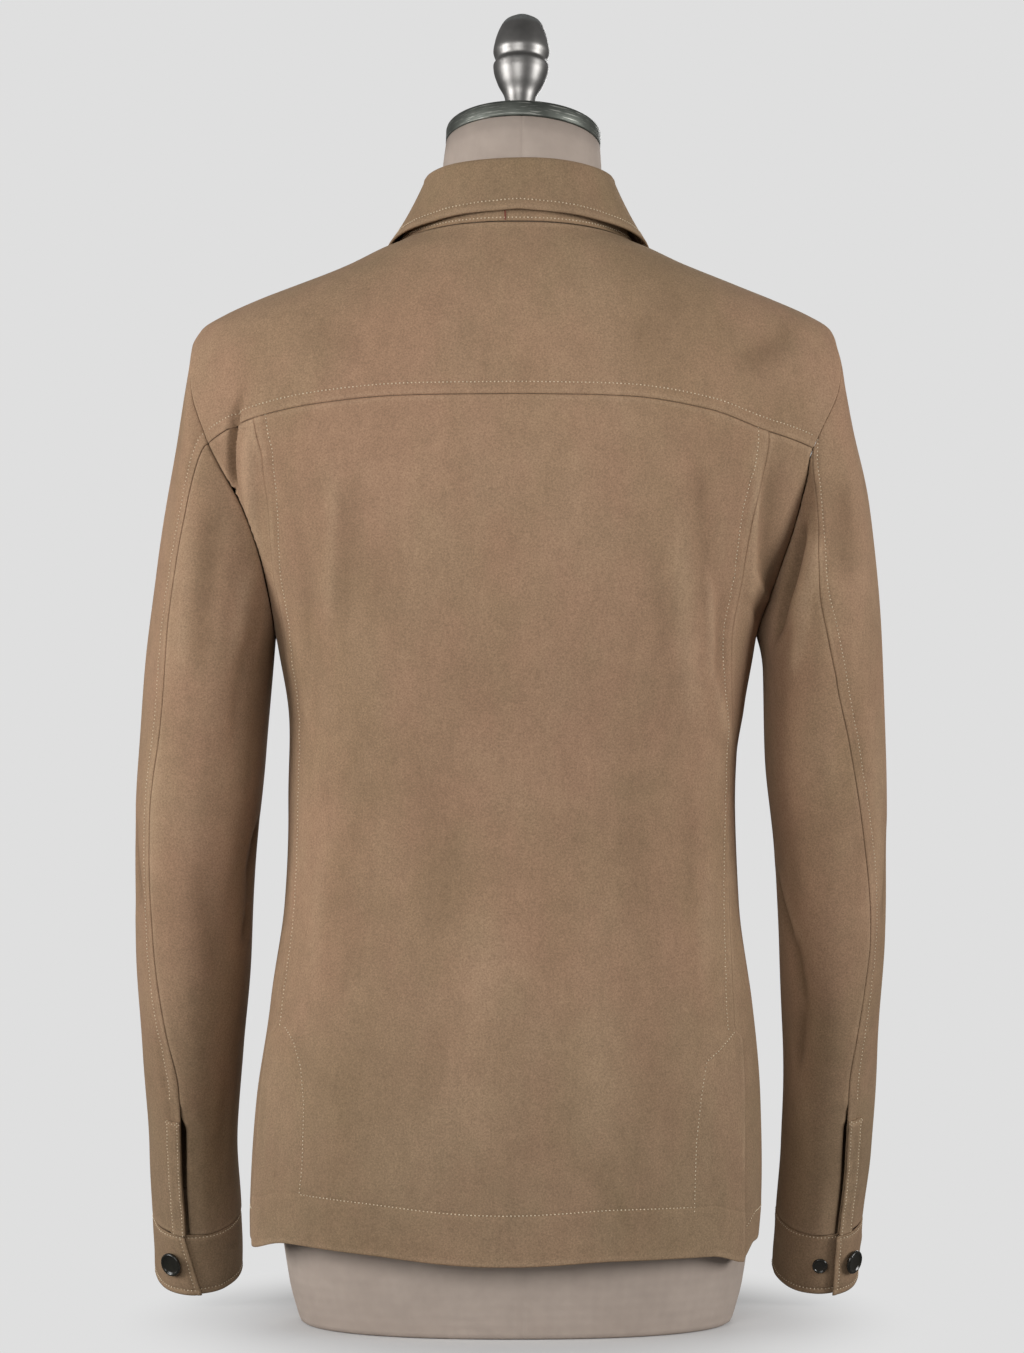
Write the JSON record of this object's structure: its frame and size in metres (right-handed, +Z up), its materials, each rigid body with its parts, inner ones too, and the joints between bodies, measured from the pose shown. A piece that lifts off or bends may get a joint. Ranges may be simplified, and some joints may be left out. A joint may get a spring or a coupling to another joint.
{
  "type": "suede shirt jacket on a limbless dress form",
  "caption": "Long-sleeved suede shirt jacket with a turned-down collar, back yoke, side vents and buttoned cuffs, worn by a limbless dress form.",
  "frame": {"origin": "centre of the dress form's flat base", "axes": "+Z up along the form; +X towards the wearer's left; +Y towards the back of the jacket"},
  "size_m": [0.5343, 0.2551, 0.9274],
  "materials": {
    "suede": "brushed nap, matt",
    "horn": "polished dark horn",
    "linen": "plain woven linen, matt",
    "cast_metal": "darkened cast metal, lightly scratched",
    "turned_metal": "turned, part polished and part matt"
  },
  "bodies": {
    "root": {"yoke": "suede", "back": "suede", "side_panel_left": "suede", "side_panel_right": "suede", "front_left": "suede", "front_right": "suede", "front_band": "suede", "collar_stand": "suede", "collar_leaf": "suede", "sleeve_top_left": "suede", "sleeve_top_right": "suede", "sleeve_under_left": "suede", "sleeve_under_right": "suede", "sleeve_placket_left": "suede", "sleeve_placket_right": "suede", "cuff_left": "suede", "cuff_right": "suede", "cuff_button_left": "horn", "cuff_button_right": "horn", "cuff_stud_right": "horn", "front_button_1": "horn", "front_button_2": "horn", "front_button_3": "horn", "front_button_4": "horn", "front_button_5": "horn", "front_button_6": "horn", "form_torso": "linen", "form_neck": "linen", "neck_cap": "cast_metal", "finial": "turned_metal"}
  },
  "joints": []
}
